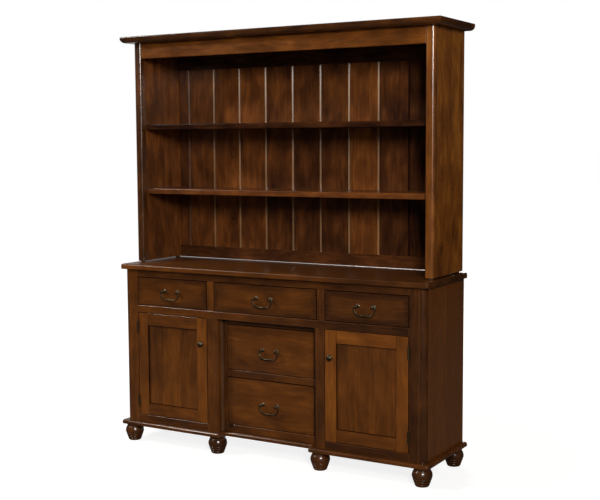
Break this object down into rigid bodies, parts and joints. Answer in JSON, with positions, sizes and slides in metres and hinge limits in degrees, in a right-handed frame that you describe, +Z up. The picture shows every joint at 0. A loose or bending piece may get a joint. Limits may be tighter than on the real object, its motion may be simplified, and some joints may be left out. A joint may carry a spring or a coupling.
{
  "type": "dresser with hutch",
  "caption": "Stained wood dresser: breakfront base on bun feet with drawers and panel doors, under an open plank-backed hutch with shelves and a flat crown.",
  "frame": {"origin": "centre of the bounding box on the floor under the feet", "axes": "+X to the right seen from the front, +Y from front to back, +Z up"},
  "size_m": [1.666, 0.445, 1.958],
  "materials": {
    "case_wood": "stained and satin lacquered",
    "plank_wood": "stained and satin lacquered",
    "door_wood": "stained and satin lacquered",
    "drawer_front_wood": "stained and satin lacquered",
    "inner_wood": "stained, matt",
    "drawer_box_wood": "clear lacquered maple",
    "bronze_hardware": "dark antique bronze",
    "pad_felt": "felt"
  },
  "bodies": {
    "case": {"base_back": "inner_wood", "base_left_side": "case_wood", "base_plate": "case_wood", "base_right_side": "case_wood", "buffet_top": "case_wood", "bun_feet": "case_wood", "cabinet_floors": "inner_wood", "cabinet_shelves": "case_wood", "crown_top": "case_wood", "door_stops": "case_wood", "drawer_runners": "inner_wood", "dust_panel": "inner_wood", "face_frame": "case_wood", "hinge_frame_leaves": "bronze_hardware", "hinge_pins": "bronze_hardware", "hutch_back_planks": "plank_wood", "hutch_back_rails": "plank_wood", "hutch_header": "case_wood", "hutch_left_side": "case_wood", "hutch_left_stile": "case_wood", "hutch_lower_shelf": "case_wood", "hutch_pads": "pad_felt", "hutch_right_side": "case_wood", "hutch_right_stile": "case_wood", "hutch_upper_shelf": "case_wood", "left_corner_post": "case_wood", "left_inner_post": "case_wood", "partitions": "inner_wood", "recess_frame": "case_wood", "right_corner_post": "case_wood", "right_inner_post": "case_wood", "shelf_cleats": "case_wood"},
    "left_drawer": {"left_drawer_front": "drawer_front_wood", "left_drawer_box": "drawer_box_wood", "left_drawer_pull_posts": "bronze_hardware"},
    "left_drawer_handle": {"left_drawer_bail": "bronze_hardware"},
    "centre_drawer": {"centre_drawer_front": "drawer_front_wood", "centre_drawer_box": "drawer_box_wood", "centre_drawer_pull_posts": "bronze_hardware"},
    "centre_drawer_handle": {"centre_drawer_bail": "bronze_hardware"},
    "right_drawer": {"right_drawer_front": "drawer_front_wood", "right_drawer_box": "drawer_box_wood", "right_drawer_pull_posts": "bronze_hardware"},
    "right_drawer_handle": {"right_drawer_bail": "bronze_hardware"},
    "upper_deep_drawer": {"upper_deep_drawer_front": "drawer_front_wood", "upper_deep_drawer_box": "drawer_box_wood", "upper_deep_drawer_pull_posts": "bronze_hardware"},
    "upper_deep_drawer_handle": {"upper_deep_drawer_bail": "bronze_hardware"},
    "lower_deep_drawer": {"lower_deep_drawer_front": "drawer_front_wood", "lower_deep_drawer_box": "drawer_box_wood", "lower_deep_drawer_pull_posts": "bronze_hardware"},
    "lower_deep_drawer_handle": {"lower_deep_drawer_bail": "bronze_hardware"},
    "left_door": {"left_door_frame": "door_wood", "left_door_panel": "door_wood", "left_door_knob": "bronze_hardware", "left_door_hinge_leaves": "bronze_hardware"},
    "right_door": {"right_door_frame": "door_wood", "right_door_panel": "door_wood", "right_door_knob": "bronze_hardware", "right_door_hinge_leaves": "bronze_hardware"}
  },
  "joints": [
    {"name": "left_drawer_slide", "type": "slide", "parent": "case", "child": "left_drawer", "axis": [0, -1, 0], "range_m": [0, 0.3]},
    {"name": "left_drawer_bail_swing", "type": "hinge", "parent": "left_drawer", "child": "left_drawer_handle", "pos_m": [-0.515, -0.2125, 0.75], "axis": [-1, 0, 0], "range_deg": [0, 95]},
    {"name": "centre_drawer_slide", "type": "slide", "parent": "case", "child": "centre_drawer", "axis": [0, -1, 0], "range_m": [0, 0.3]},
    {"name": "centre_drawer_bail_swing", "type": "hinge", "parent": "centre_drawer", "child": "centre_drawer_handle", "pos_m": [0, -0.2125, 0.75], "axis": [-1, 0, 0], "range_deg": [0, 95]},
    {"name": "right_drawer_slide", "type": "slide", "parent": "case", "child": "right_drawer", "axis": [0, -1, 0], "range_m": [0, 0.3]},
    {"name": "right_drawer_bail_swing", "type": "hinge", "parent": "right_drawer", "child": "right_drawer_handle", "pos_m": [0.515, -0.2125, 0.75], "axis": [-1, 0, 0], "range_deg": [0, 95]},
    {"name": "upper_deep_drawer_slide", "type": "slide", "parent": "case", "child": "upper_deep_drawer", "axis": [0, -1, 0], "range_m": [0, 0.26]},
    {"name": "upper_deep_drawer_bail_swing", "type": "hinge", "parent": "upper_deep_drawer", "child": "upper_deep_drawer_handle", "pos_m": [0, -0.1625, 0.5045], "axis": [-1, 0, 0], "range_deg": [0, 95]},
    {"name": "lower_deep_drawer_slide", "type": "slide", "parent": "case", "child": "lower_deep_drawer", "axis": [0, -1, 0], "range_m": [0, 0.26]},
    {"name": "lower_deep_drawer_bail_swing", "type": "hinge", "parent": "lower_deep_drawer", "child": "lower_deep_drawer_handle", "pos_m": [0, -0.1625, 0.2505], "axis": [-1, 0, 0], "range_deg": [0, 95]},
    {"name": "left_door_hinge", "type": "hinge", "parent": "case", "child": "left_door", "pos_m": [-0.7169, -0.2028, 0.3875], "axis": [0, 0, -1], "range_deg": [0, 170]},
    {"name": "right_door_hinge", "type": "hinge", "parent": "case", "child": "right_door", "pos_m": [0.7169, -0.2028, 0.3875], "axis": [0, 0, 1], "range_deg": [0, 170]}
  ]
}
